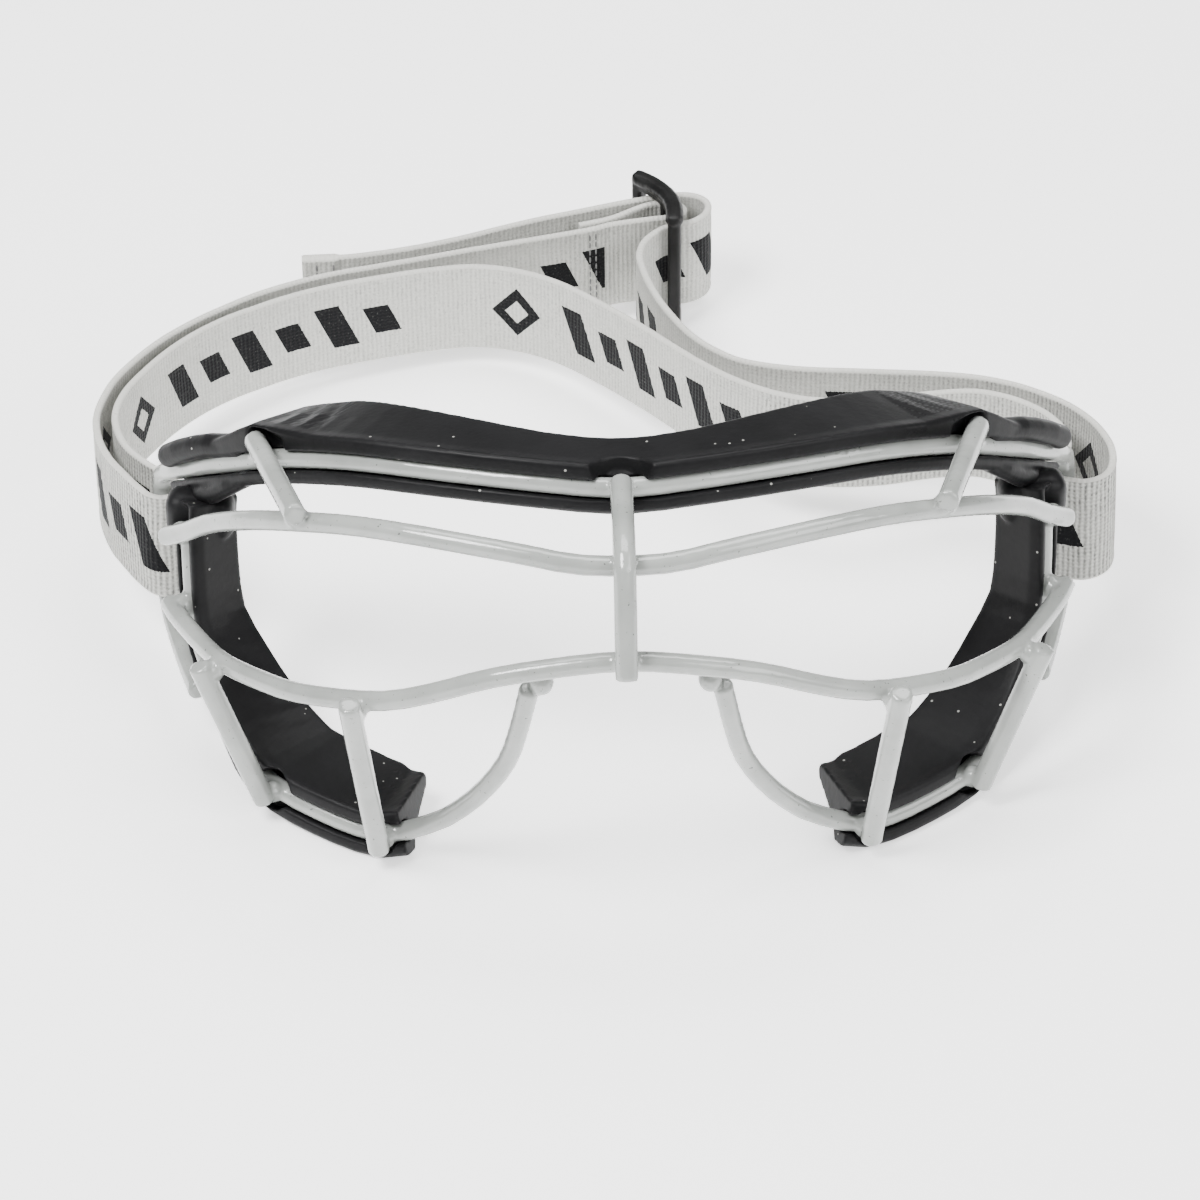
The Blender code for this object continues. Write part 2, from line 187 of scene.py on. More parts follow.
coat = {"colour": (0.325, 0.338, 0.322), "dull": (0.26, 0.272, 0.258), "roughness": 0.2,
        "clear": 0.6, "clearRoughness": 0.1, "mottle": 90.0, "specks": 1500.0, "skin": 420.0}


def coatedSteel():
    material, shader, node, link = newMaterial("coatedSteel")
    shader.inputs["Coat Weight"].default_value = coat["clear"]
    shader.inputs["Coat Roughness"].default_value = coat["clearRoughness"]
    where = node("ShaderNodeTexCoord")
    broad = node("ShaderNodeTexNoise", Scale=coat["mottle"], Detail=3.0)
    link(where.outputs["Object"], broad.inputs["Vector"])
    tone = ramp(node, ((0.35, coat["dull"]), (0.65, coat["colour"])))
    link(broad.outputs["Fac"], tone.inputs["Fac"])
    specks = node("ShaderNodeTexNoise", Scale=coat["specks"], Detail=2.0)
    link(where.outputs["Object"], specks.inputs["Vector"])
    fleck = ramp(node, ((0.26, 0.35), (0.31, 1.0)))
    link(specks.outputs["Fac"], fleck.inputs["Fac"])
    both = node("ShaderNodeMix", data_type="RGBA", blend_type="MULTIPLY")
    both.inputs[0].default_value = 1.0
    link(tone.outputs["Color"], both.inputs[6])
    link(fleck.outputs["Color"], both.inputs[7])
    link(both.outputs[2], shader.inputs["Base Color"])
    sheen = node("ShaderNodeMapRange")
    sheen.inputs["To Min"].default_value = coat["roughness"] - 0.06
    sheen.inputs["To Max"].default_value = coat["roughness"] + 0.09
    link(broad.outputs["Fac"], sheen.inputs["Value"])
    link(sheen.outputs["Result"], shader.inputs["Roughness"])
    skin = node("ShaderNodeTexNoise", Scale=coat["skin"], Detail=2.0)
    link(where.outputs["Object"], skin.inputs["Vector"])
    bump = node("ShaderNodeBump", Strength=0.09, Distance=0.0004)
    link(skin.outputs["Fac"], bump.inputs["Height"])
    link(bump.outputs["Normal"], shader.inputs["Normal"])
    return material


gum = {"colour": (0.0042, 0.0042, 0.0046), "grey": (0.009, 0.009, 0.0097), "roughness": 0.44,
       "gloss": 0.14, "dust": (0.6, 0.6, 0.56), "dustPitch": 420.0, "dustKept": 0.74, "dustFaint": 0.5,
       "mottle": 55.0, "grain": 900.0}


def blackRubber():
    material, shader, node, link = newMaterial("blackRubber")
    shader.inputs["Specular IOR Level"].default_value = gum["gloss"]
    where = node("ShaderNodeTexCoord")
    broad = node("ShaderNodeTexNoise", Scale=gum["mottle"], Detail=4.0, Roughness=0.6)
    link(where.outputs["Object"], broad.inputs["Vector"])
    # dust: sparse pale points, some bigger than others
    dust = node("ShaderNodeTexVoronoi", Scale=gum["dustPitch"], Randomness=1.0)
    link(where.outputs["Object"], dust.inputs["Vector"])
    dots = ramp(node, ((0.075, 1.0), (0.11, 0.0)))
    link(dust.outputs["Distance"], dots.inputs["Fac"])
    some = node("ShaderNodeSeparateColor")
    link(dust.outputs["Color"], some.inputs["Color"])
    few = node("ShaderNodeMath", operation="GREATER_THAN")
    few.inputs[1].default_value = gum["dustKept"]
    link(some.outputs["Red"], few.inputs[0])
    kept = node("ShaderNodeMath", operation="MULTIPLY")
    link(dots.outputs["Color"], kept.inputs[0])
    link(few.outputs["Value"], kept.inputs[1])
    faint = node("ShaderNodeMath", operation="MULTIPLY")
    faint.inputs[1].default_value = gum["dustFaint"]
    link(kept.outputs["Value"], faint.inputs[0])
    mix = node("ShaderNodeMix", data_type="RGBA")
    link(faint.outputs["Value"], mix.inputs[0])
    tone = ramp(node, ((0.3, gum["colour"]), (0.75, gum["grey"])))
    link(broad.outputs["Fac"], tone.inputs["Fac"])
    link(tone.outputs["Color"], mix.inputs[6])
    mix.inputs[7].default_value = (*gum["dust"], 1)
    link(mix.outputs[2], shader.inputs["Base Color"])
    sheen = node("ShaderNodeMapRange")
    sheen.inputs["To Min"].default_value = gum["roughness"] - 0.1
    sheen.inputs["To Max"].default_value = gum["roughness"] + 0.14
    link(broad.outputs["Fac"], sheen.inputs["Value"])
    link(sheen.outputs["Result"], shader.inputs["Roughness"])
    grain = node("ShaderNodeTexNoise", Scale=gum["grain"], Detail=3.0)
    link(where.outputs["Object"], grain.inputs["Vector"])
    bump = node("ShaderNodeBump", Strength=0.12, Distance=0.0003)
    link(grain.outputs["Fac"], bump.inputs["Height"])
    link(bump.outputs["Normal"], shader.inputs["Normal"])
    return material


shell = {"deep": 0.005, "pale": 0.012, "gloss": 0.18, "smooth": 0.3, "rough": 0.46,
         "mottle": 260.0, "grain": 1600.0}


def blackPlastic():
    material, shader, node, link = newMaterial("blackPlastic")
    shader.inputs["Specular IOR Level"].default_value = shell["gloss"]
    where = node("ShaderNodeTexCoord")
    fine = node("ShaderNodeTexNoise", Scale=shell["mottle"], Detail=4.0)
    link(where.outputs["Object"], fine.inputs["Vector"])
    tone = ramp(node, ((0.3, shell["deep"]), (0.8, shell["pale"])))
    link(fine.outputs["Fac"], tone.inputs["Fac"])
    link(tone.outputs["Color"], shader.inputs["Base Color"])
    sheen = node("ShaderNodeMapRange")
    sheen.inputs["To Min"].default_value = shell["smooth"]
    sheen.inputs["To Max"].default_value = shell["rough"]
    link(fine.outputs["Fac"], sheen.inputs["Value"])
    link(sheen.outputs["Result"], shader.inputs["Roughness"])
    grain = node("ShaderNodeTexNoise", Scale=shell["grain"], Detail=1.0)
    link(where.outputs["Object"], grain.inputs["Vector"])
    bump = node("ShaderNodeBump", Strength=0.1, Distance=0.0002)
    link(grain.outputs["Fac"], bump.inputs["Height"])
    link(bump.outputs["Normal"], shader.inputs["Normal"])
    return material


# lengths along the webbing and across it are in webbing widths, but the painted shade between the ribs,
# and the flecks, fade between two places along the scene's Y, in metres
weave = {
    "light": (0.60, 0.60, 0.565), "shade": (0.30, 0.30, 0.28), "thread": (0.0035, 0.0037, 0.0045),
    "cord": (0.56, 0.555, 0.52), "cordFrom": 0.476, "fleck": (0.05, 0.05, 0.05),
    "roughness": 0.88, "gloss": 0.12, "fuzz": 0.08, "relief": 0.00022,
    "ribs": 21.0, "threads": 26, "fullTo": -0.005, "closedFrom": 0.035, "closed": 0.34,
    # the marks: how often they repeat, where they begin, and the plain end that is sewn round the slider
    "repeat": 4.6, "markStart": 1.05, "plainTo": 2.15,
    "rowStart": 1.15, "rowEnd": 4.03, "dashPitch": 0.48, "dashWide": 0.56, "slant": -0.42,
    "shortDash": 0.16, "tallMore": 0.09,
    "diamondAt": 0.5, "diamondSquash": 0.95, "diamondOut": 0.27, "diamondIn": 0.13,
}


def elasticWebbing():
    # u runs along the webbing and v across it, both in webbing widths;
    # v runs from 0 to 1 on the outer face and from 1 to 2 on the inner one
    material, shader, node, link = newMaterial("elasticWebbing")
    shader.inputs["Sheen Weight"].default_value = weave["fuzz"]
    shader.inputs["Sheen Roughness"].default_value = 0.5
    shader.inputs["Roughness"].default_value = weave["roughness"]
    shader.inputs["Specular IOR Level"].default_value = weave["gloss"]
    uv = node("ShaderNodeUVMap", uv_map="webbing")
    split = node("ShaderNodeSeparateXYZ")
    link(uv.outputs["UV"], split.inputs["Vector"])

    def maths(operation, a, b=None, c=None):
        made = node("ShaderNodeMath", operation=operation)
        for socket, value in zip(made.inputs, (a, b, c)):
            if value is None:
                continue
            if isinstance(value, (int, float)):
                socket.default_value = value
            else:
                link(value, socket)
        return made.outputs["Value"]

    u, v = split.outputs["X"], split.outputs["Y"]
    across = maths("FRACT", v)

    def noise(scaleU, scaleV, detail=2.0):
        place = node("ShaderNodeCombineXYZ")
        link(maths("MULTIPLY", u, scaleU), place.inputs["X"])
        link(maths("MULTIPLY", v, scaleV), place.inputs["Y"])
        made = node("ShaderNodeTexNoise", Scale=1.0, Detail=detail)
        link(place.outputs["Vector"], made.inputs["Vector"])
        return made.outputs["Fac"]

    # woven ribs across, and threads along, a little uneven
    wander = maths("MULTIPLY", maths("SUBTRACT", noise(6, 3), 0.5), 0.03)
    uSoft = maths("ADD", u, wander)
    rib = maths("SINE", maths("MULTIPLY", uSoft, weave["ribs"] * math.tau))
    rib01 = maths("MULTIPLY_ADD", rib, 0.5, 0.5)
    drift = maths("ADD", across, maths("MULTIPLY", rib, 0.006))
    warp = maths("SINE", maths("MULTIPLY", drift, weave["threads"] * math.tau))
    warp01 = maths("MULTIPLY_ADD", warp, 0.5, 0.5)
    # the painted shade between the ribs, and the flecks, are full at the front and fade to about a third
    # further back
    spot = node("ShaderNodeSeparateXYZ")
    link(node("ShaderNodeTexCoord").outputs["Object"], spot.inputs["Vector"])
    frontFade = node("ShaderNodeMapRange")
    for socket, value in (("From Min", weave["fullTo"]), ("From Max", weave["closedFrom"]),
                          ("To Min", 1.0), ("To Max", weave["closed"])):
        frontFade.inputs[socket].default_value = value
    link(spot.outputs["Y"], frontFade.inputs["Value"])
    frontStrength = frontFade.outputs["Result"]
    # dark flecks between the ribs
    gaps = maths("POWER", maths("SUBTRACT", 1.0, rib01), 1.6)
    spots = ramp(node, ((0.44, 0.0), (0.60, 1.0)))
    link(noise(21, 24, 1.0), spots.inputs["Fac"])
    patchy = ramp(node, ((0.36, 0.2), (0.62, 1.0)))
    link(noise(2.2, 3.0, 2.0), patchy.inputs["Fac"])
    fleck = maths("MULTIPLY", gaps, spots.outputs["Color"])
    fleck = maths("MULTIPLY", fleck, patchy.outputs["Color"])
    fleck = maths("MULTIPLY", maths("MULTIPLY", fleck, frontStrength), 0.78)
    # small loose flecks anywhere
    motes = ramp(node, ((0.66, 0.0), (0.73, 1.0)))
    link(noise(46, 46, 1.0), motes.inputs["Fac"])
    fleck = maths("MAXIMUM", fleck, maths("MULTIPLY", motes.outputs["Color"], 0.5))

    # generic woven marks: a row of slanting dashes with a diamond between rows
    edgeNoise = maths("MULTIPLY", maths("SUBTRACT", noise(70, 60), 0.5), 0.06)
    turn = maths("FRACT", maths("DIVIDE", maths("ADD", u, weave["markStart"]), weave["repeat"]))
    along = maths("MULTIPLY", turn, weave["repeat"])
    tall = maths("ABSOLUTE", maths("SUBTRACT", across, 0.5))
    tilt = maths("MULTIPLY", maths("SUBTRACT", across, 0.5), weave["slant"])
    slanted = maths("ADD", along, tilt)
    inRow = maths("MULTIPLY", maths("GREATER_THAN", slanted, weave["rowStart"]),
                  maths("LESS_THAN", slanted, weave["rowEnd"]))
    dashes = maths("DIVIDE", maths("SUBTRACT", slanted, weave["rowStart"]), weave["dashPitch"])
    dash = maths("LESS_THAN", maths("ADD", maths("FRACT", dashes), edgeNoise), weave["dashWide"])
    # every other dash is taller
    isTall = maths("LESS_THAN", maths("FRACT", maths("MULTIPLY", maths("FLOOR", dashes), 0.5)), 0.25)
    reach = maths("MULTIPLY_ADD", isTall, weave["tallMore"], weave["shortDash"])
    ragged = maths("ADD", tall, maths("MULTIPLY", edgeNoise, 0.4))
    dash = maths("MULTIPLY", dash, maths("LESS_THAN", ragged, reach))
    row = maths("MULTIPLY", inRow, dash)
    away = maths("ADD", maths("ABSOLUTE", maths("SUBTRACT", along, weave["diamondAt"])),
                 maths("MULTIPLY", tall, weave["diamondSquash"]))
    away = maths("ADD", away, maths("MULTIPLY", edgeNoise, 0.4))
    diamond = maths("MULTIPLY", maths("LESS_THAN", away, weave["diamondOut"]),
                    maths("GREATER_THAN", away, weave["diamondIn"]))
    mark = maths("MAXIMUM", row, diamond)
    mark = maths("MULTIPLY", mark, maths("GREATER_THAN", u, weave["plainTo"]))
    worn = ramp(node, ((0.28, 0.9), (0.38, 1.0)))
    link(noise(55, 34), worn.inputs["Fac"])
    mark = maths("MULTIPLY", mark, worn.outputs["Color"])

    # twisted cord along both edges
    edge = maths("GREATER_THAN", tall, weave["cordFrom"])

    def mixed(fac, a, b):
        made = node("ShaderNodeMix", data_type="RGBA")
        link(fac, made.inputs[0])
        for socket, value in ((made.inputs[6], a), (made.inputs[7], b)):
            if isinstance(value, tuple):
                socket.default_value = (*value, 1)
            else:
                link(value, socket)
        return made.outputs[2]

    # painted shade: the gaps between the ribs and the threads are darkened in the colour, most at the
    # front; the two noises added after it are random heathered tone
    ribGapShade = maths("MULTIPLY_ADD", maths("SUBTRACT", 1.0, rib01), 0.66,
                 maths("MULTIPLY", maths("SUBTRACT", 1.0, warp01), 0.26))
    ribShadeAndHeather = maths("SUBTRACT", 0.86, maths("MULTIPLY", ribGapShade, frontStrength))
    ribShadeAndHeather = maths("ADD", ribShadeAndHeather, maths("MULTIPLY", maths("SUBTRACT", noise(9, 5), 0.5), 0.4))
    ribShadeAndHeather = maths("ADD", ribShadeAndHeather, maths("MULTIPLY", maths("SUBTRACT", noise(44, 30), 0.5), 0.75))
    ribShadeAndHeather = maths("MINIMUM", maths("MAXIMUM", ribShadeAndHeather, 0.0), 1.0)
    ground = mixed(ribShadeAndHeather, weave["shade"], weave["light"])
    ground = mixed(fleck, ground, weave["fleck"])
    ground = mixed(mark, ground, weave["thread"])
    ground = mixed(edge, ground, weave["cord"])
    link(ground, shader.inputs["Base Color"])
    height = maths("ADD", maths("MULTIPLY", rib01, 0.7), maths("MULTIPLY", warp01, 0.35))
    height = maths("ADD", height, maths("MULTIPLY", noise(130, 130), 0.5))
    bump = node("ShaderNodeBump", Strength=0.55, Distance=weave["relief"])
    link(height, bump.inputs["Height"])
    link(bump.outputs["Normal"], shader.inputs["Normal"])
    return material


def stitchThread():
    material, shader, node, link = newMaterial("stitchThread")
    shader.inputs["Roughness"].default_value = 0.8
    where = node("ShaderNodeTexCoord")
    twist = node("ShaderNodeTexNoise", Scale=2600.0, Detail=1.0)
    link(where.outputs["Object"], twist.inputs["Vector"])
    tone = ramp(node, ((0.3, 0.10), (0.7, 0.2)))
    link(twist.outputs["Fac"], tone.inputs["Fac"])
    link(tone.outputs["Color"], shader.inputs["Base Color"])
    return material


steel = coatedSteel()
rubber = blackRubber()
plastic = blackPlastic()
elastic = elasticWebbing()
sewingThread = stitchThread()
print("goggles: materials made")


cage = {
    "nodes": ("brow_wire", "upper_front_bar", "lower_front_bar", "centre_bar",
              "left_cheek_wire", "right_cheek_wire", "upper_strut_left", "upper_strut_right",
              "lower_inner_strut_left", "lower_inner_strut_right",
              "lower_outer_strut_left", "lower_outer_strut_right"),
    # the remesh's grid and the growth that makes good the relaxing, in metres
    "voxel": 0.0005, "relax": 5, "grow": 0.00017,
    # place on the right half from the middle, and size of each weld's bead, mm
    "welds": (((0, -67.0, 73.0), (1.9, 1.7, 1.7)), ((0, -87.6, 72.8), (2.0, 1.7, 1.9)),
              ((0, -96.8, 58.4), (2.0, 2.0, 2.0))),
    "pairs": (((63.4, -40.6, 62.0), (1.8, 1.8, 1.9)), ((56.0, -67.4, 68.4), (1.9, 1.9, 1.8)),
              ((78.7, -36.5, 42.0), (2.0, 1.9, 2.1)), ((79.0, -40.2, 28.3), (2.0, 2.1, 2.2)),
              ((46.4, -88.3, 42.0), (1.9, 1.8, 2.1)), ((72.5, -63.6, 31.8), (1.8, 2.1, 2.0)),
              ((43.2, -79.0, 4.9), (2.1, 1.9, 2.0)), ((63.3, -65.8, 5.2), (2.0, 1.9, 1.9)),
              ((14.4, -93.4, 51.6), (2.0, 2.2, 2.3))),
}


def makeCage():
    parts = [nodeCopy(node, "wire") for node in cage["nodes"]]
    for place, size in cage["welds"]:
        parts.append(bead("weld", (place[0] + rest["browX"], place[1], place[2]), size))
    for place, size in cage["pairs"]:
        for side in (1, -1):
            parts.append(bead("weld", (side * place[0] + rest["browX"], place[1], place[2]), size))
    whole = joined("weldedCage", *parts)
    melt(whole, cage["voxel"], cage["relax"], cage["grow"])
    whole.data.materials.append(steel)
    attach(whole, "cage")
    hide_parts(*cage["nodes"])
    return whole


makeCage()
print("goggles: cage welded")


pads = {
    "voxel": 0.00042, "relax": 5, "grow": 0.00003,
    # rolls that thicken the brow pad's lips at the temples, and the block under
    # them at the head of each side pad; right half, from the middle, mm
    "upperLip": ((66.5, -36.2, 60.4), (69.6, -33.4, 58.9), (72.6, -30.8, 57.2), (75.6, -28.1, 54.9),
                 (78.6, -25.4, 52.2), (80.8, -23.2, 49.7)),
    "upperSize": (2.5, 2.5, 2.3),
    "lowerLip": ((65.0, -39.5, 57.0), (69.5, -37.2, 52.8), (72.5, -34.6, 49.2), (75.2, -31.6, 46.4),
                 (77.6, -28.8, 44.2), (79.8, -26.4, 42.3)),
    "lowerSize": (1.8, 1.8, 1.8),
    "block": (75.4, -31.6, 42.8), "blockSize": (6.2, 3.5, 4.6), "blockTurn": 8.0, "blockRound": 2.6,
}


def bothSides(places, side):
    return [(side * x + rest["browX"], y, z) for x, y, z in places]


def makePad(node, name, extras):
    pad = joined(name, *extras, nodeCopy(node, name))
    melt(pad, pads["voxel"], pads["relax"], pads["grow"])
    pad.data.materials.append(rubber)
    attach(pad, "cage")
    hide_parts(node)
    return pad


def cornerBlock(side):
    place = bothSides([pads["block"]], side)[0]
    bpy.ops.mesh.primitive_cube_add(size=2 * mm, location=Vector(place) * mm,
                                    rotation=(0, 0, math.radians(side * pads["blockTurn"])))
    block = bpy.context.object
    block.scale = pads["blockSize"]
    settle(block)
    bpy.ops.object.mode_set(mode="EDIT")
    bpy.ops.mesh.select_all(action="SELECT")
    bpy.ops.mesh.bevel(offset=pads["blockRound"] * mm, segments=4)
    bpy.ops.object.mode_set(mode="OBJECT")
    return block


rolls = []
for side in (1, -1):
    rolls += beadChain("roll", bothSides(pads["upperLip"], side), pads["upperSize"])
    rolls += beadChain("roll", bothSides(pads["lowerLip"], side), pads["lowerSize"])
makePad("brow_pad", "browPad", rolls)
makePad("left_side_pad", "leftSidePad", [cornerBlock(-1)])
makePad("right_side_pad", "rightSidePad", [cornerBlock(1)])
print("goggles: pads moulded")


webbing = {
    # in mm; the step is the grid's pitch along the route, and "between" is how many
    # points a curve has from one listed point to the next
    "width": 20.0, "thick": 1.5, "step": 0.42, "between": 12, "ribDepth": 0.05, "cordFrom": 8.8,
    "hem": 7.6, "hemThick": 0.55, "hemEase": 0.8, "crease": 50.0, "merge": 0.002,
    # the route from above, from the sewn end to the hemmed tail, mm
    "sewn": ((-4.6, 153.9), (0.2, 155.4), (3.6, 157.1), (7, 159.4), (10, 161), (13, 161.5),
             (15.6, 160.8), (16.9, 158.9), (16, 156.8), (13.2, 156.1), (9.6, 155.5)),
    "outerLeft": ((6, 154.8), (2, 153.9), (-2, 152.3), (-6.3, 151), (-12.8, 149.3), (-20.9, 147.2),
                  (-29.2, 145), (-37, 142.8), (-45, 140.6), (-54.9, 137.6), (-63.5, 133.7),
                  (-71.3, 128.8), (-79.3, 121.8), (-86.3, 113.5), (-91.4, 105), (-94.9, 97),
                  (-96.9, 88.5), (-97.7, 80), (-96.6, 71), (-94, 62.8), (-90.6, 56.6)),
    "wrapLeft": ((-87.8, 52.3), (-85.9, 50.0), (-83.6, 49.15), (-81.4, 50.1), (-80.7, 52.1),
                 (-81.3, 54.4)),
    "innerRun": ((-83.7, 57.4), (-87.2, 61.2), (-91.2, 67.6), (-93.5, 75), (-94.2, 81.7),
                 (-93.5, 88.2), (-91.7, 94.7), (-88.6, 102), (-85, 108.6), (-80.6, 114.8),
                 (-75.3, 120.4), (-70, 124.6), (-63, 129), (-54.8, 132.8), (-44.9, 136),
                 (-34.9, 138.6), (-25.7, 139.6), (-16.9, 137.3), (-9, 132.3), (-1.2, 124.3),
                 (6.4, 114.6), (15.2, 102), (23, 91.9), (31, 84.8), (40, 81), (51, 80.8),
                 (62, 83), (69.5, 83.4), (74.6, 81.4), (79, 77.8), (82.6, 73), (84.8, 67.4),
                 (85.3, 62.4), (84.3, 58)),
    "wrapRight": ((81.6, 54.6), (80.7, 52.1), (81.4, 50.1), (83.7, 49.0), (87.2, 48.2)),
    "outerRight": ((90.7, 50), (92.7, 54), (93, 60.6), (90.9, 69.4), (86.5, 77.5), (80, 84.1),
                   (74.4, 87.7), (68.6, 90), (60, 91.7), (47.8, 93.2), (36.6, 94.7), (27.2, 98),
                   (21.3, 103), (16.2, 110.5), (12, 121), (9.1, 131), (7.7, 138.5), (7.4, 143.4),
                   (8.8, 148), (11.9, 151.7), (15.2, 153.5), (18.4, 154.4), (21, 156.8),
                   (21.9, 160.2), (20.6, 163), (17.6, 164.3), (13, 164.1), (9, 163.1)),
    "tail": ((3.1, 161.4), (-4.8, 158.8), (-12.7, 156.3), (-20.8, 153.2), (-29.2, 149.8),
             (-40, 146.4), (-51, 144.2), (-60.6, 143.6)),
    # how high the top edge stands at each distance back, mm above the surface
    "heights": ((45, 35.7), (60, 34.9), (75, 32.6), (100, 28.4), (125, 25.2), (140, 24.1)),
    "leanFrom": 54.0, "leanOver": 34.0,
}


def heightAt(y):
    rows = webbing["heights"]
    if y <= rows[0][0]:
        return rows[0][1]
    for low, high in zip(rows, rows[1:]):
        if y <= high[0]:
            return low[1] + (high[1] - low[1]) * (y - low[0]) / (high[0] - low[0])
    return rows[-1][1]


def smoothRoute(points):
    between = webbing["between"]
    knots = [Vector(p) for p in points]
    knots = [knots[0] * 2 - knots[1]] + knots + [knots[-1] * 2 - knots[-2]]
    curve = []
    for a, b, c, d in zip(knots, knots[1:], knots[2:], knots[3:]):
        for k in range(between):
            t = k / between
            curve.append(0.5 * (2 * b + (c - a) * t + (2 * a - 5 * b + 4 * c - d) * t * t
                                + (3 * b - a - 3 * c + d) * t ** 3))
    curve.append(knots[-2])
    return curve


def evenly(curve, step):
    lengths = [0.0]
    for a, b in zip(curve, curve[1:]):
        lengths.append(lengths[-1] + (b - a).length)
    count = round(lengths[-1] / step)
    places, k = [], 0
    for i in range(count + 1):
        want = lengths[-1] * i / count
        while k < len(curve) - 2 and lengths[k + 1] < want:
            k += 1
        span = max(lengths[k + 1] - lengths[k], 1e-9)
        places.append(curve[k].lerp(curve[k + 1], (want - lengths[k]) / span))
    return places, lengths[-1]


def wholeRoute():
    parts = [webbing[key] for key in ("sewn", "outerLeft", "wrapLeft", "innerRun",
                                      "wrapRight", "outerRight", "tail")]
    curve = smoothRoute([p for part in parts for p in part])
    places, length = evenly(curve, webbing["step"])
    before = smoothRoute([p for part in parts[:-1] for p in part] + [parts[-1][0]])
    tailStart = sum((b - a).length for a, b in zip(before, before[1:]))
    tailStart -= (Vector(parts[-1][0]) - Vector(parts[-2][-1])).length * 0.5
    return places, length, tailStart


# half of the section: across from the middle, and half the thickness there, mm
section = ((10.0, 0.0), (9.97, 0.34), (9.75, 0.62), (9.3, 0.72), (8.9, 0.66), (8.6, 0.6),
           (6.5, 0.66), (4.3, 0.68), (2.2, 0.69), (0.0, 0.69))


def sectionRing():
    # once round the section: (across, out, v)
    half = [(a, t) for a, t in section]
    outer = half + [(-a, t) for a, t in reversed(half[:-1])]
    inner = [(-a, t) for a, t in half[1:]] + list(reversed(half[1:-1]))
    ring = [(a, t, 0.5 - a / webbing["width"]) for a, t in outer]
    return ring + [(a, -t, 1.5 + a / webbing["width"]) for a, t in inner]


def frameAt(places, k):
    # the webbing's middle, its upward and its outward direction at one place
    place = places[k]
    along = (places[min(k + 1, len(places) - 1)] - places[max(k - 1, 0)]).normalized()
    fade = 1 - (place.y - webbing["leanFrom"]) / webbing["leanOver"]
    lean = math.radians(rest["lean"]) * min(1.0, max(0.0, fade))
    up = Vector((0, math.sin(lean), math.cos(lean)))
    out = Vector((along.x, along.y, 0)).cross(up).normalized()
    top = browPoint(place.x, place.y, heightAt(place.y) - rest["browZ"])
    return top - up * (webbing["width"] / 2 * mm), up, out


def hemSwell(left):
    # how much thicker the webbing is this far from its folded end, in mm
    inner = max(0.0, (webbing["hem"] - left) / webbing["hemEase"])
    rounded = (left + 0.25) / 0.6
    return webbing["hemThick"] * min(1.0, inner, rounded)


def webbingStrip(name, places, fromMark, toMark, total):
    # a grid rolled into a closed section and laid along the route
    step = total / (len(places) - 1)
    first, last = round(fromMark / step), round(toMark / step)
    stretch = range(first, last + 1)
    ring = sectionRing()
    around = len(ring)
    deselectAll()
    bpy.ops.mesh.primitive_grid_add(x_subdivisions=len(stretch) - 1, y_subdivisions=around, size=1)
    strip = bpy.context.object
    strip.name = name
    strip.data.name = name
    mesh = strip.data
    wide = len(stretch)
    for i, k in enumerate(stretch):
        middle, up, out = frameAt(places, k)
        hem = hemSwell(total - k * step)
        rise = webbing["ribDepth"] * math.sin(k * step / webbing["width"] * weave["ribs"] * math.tau)
        for j in range(around + 1):
            across, thick, _ = ring[j % around]
            side = 1 if thick > 0 else -1 if thick < 0 else 0
            swell = side * (hem + (rise if abs(across) < webbing["cordFrom"] else 0.0))
            mesh.vertices[j * wide + i].co = middle + up * (across * mm) + out * ((thick + swell) * mm)
    marks = [k * step / webbing["width"] for k in stretch]
    layer = mesh.uv_layers[0] if mesh.uv_layers else mesh.uv_layers.new(name="webbing")
    layer.name = "webbing"
    values = [0.0] * (2 * len(mesh.loops))
    for face in mesh.polygons:
        rows = [mesh.loops[loop].vertex_index // wide for loop in face.loop_indices]
        for loop, row in zip(face.loop_indices, rows):
            v = ring[row % around][2] if row < around else 2.0
            if row == 0 and max(rows) == around:
                v = 0.0
            values[2 * loop] = marks[mesh.loops[loop].vertex_index % wide]
            values[2 * loop + 1] = v
    layer.data.foreach_set("uv", values)
    pick(strip)
    bpy.ops.object.mode_set(mode="EDIT")
    bpy.ops.mesh.select_all(action="SELECT")
    bpy.ops.mesh.remove_doubles(threshold=webbing["merge"] * mm)
    bpy.ops.mesh.select_all(action="DESELECT")
    bpy.ops.mesh.select_non_manifold()
    bpy.ops.mesh.fill_holes(sides=0)
    bpy.ops.mesh.select_all(action="SELECT")
    bpy.ops.mesh.normals_make_consistent(inside=False)
    bpy.ops.object.mode_set(mode="OBJECT")
    bpy.ops.object.shade_smooth_by_angle(angle=math.radians(webbing["crease"]))
    strip.data.materials.append(elastic)
    return strip


route, routeLength, tailMark = wholeRoute()
band = webbingStrip("strapBand", route, 0.0, tailMark, routeLength)
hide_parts("strap_outer_left", "strap_wrap_left", "strap_inner_run", "strap_wrap_right",
            "strap_outer_right")
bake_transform(band)
tail = webbingStrip("strapTail", route, tailMark, routeLength, routeLength)
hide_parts("strap_tail")
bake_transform(tail)
print("goggles: webbing woven, %.0f mm" % routeLength)

# stitches to a row and their half sizes, the rows' distances from the hemmed end, and the
# places where the sewn end is caught, looked for between two marks along the route, mm
sewing = {"stitches": 10, "long": 0.78, "round": 0.2, "margin": 1.2, "sink": 0.08,
          "hemRows": (2.9, 6.3), "seamRows": ((-1.4, 152.5), (-2.6, 152.1)), "seamBetween": (30, 70)}


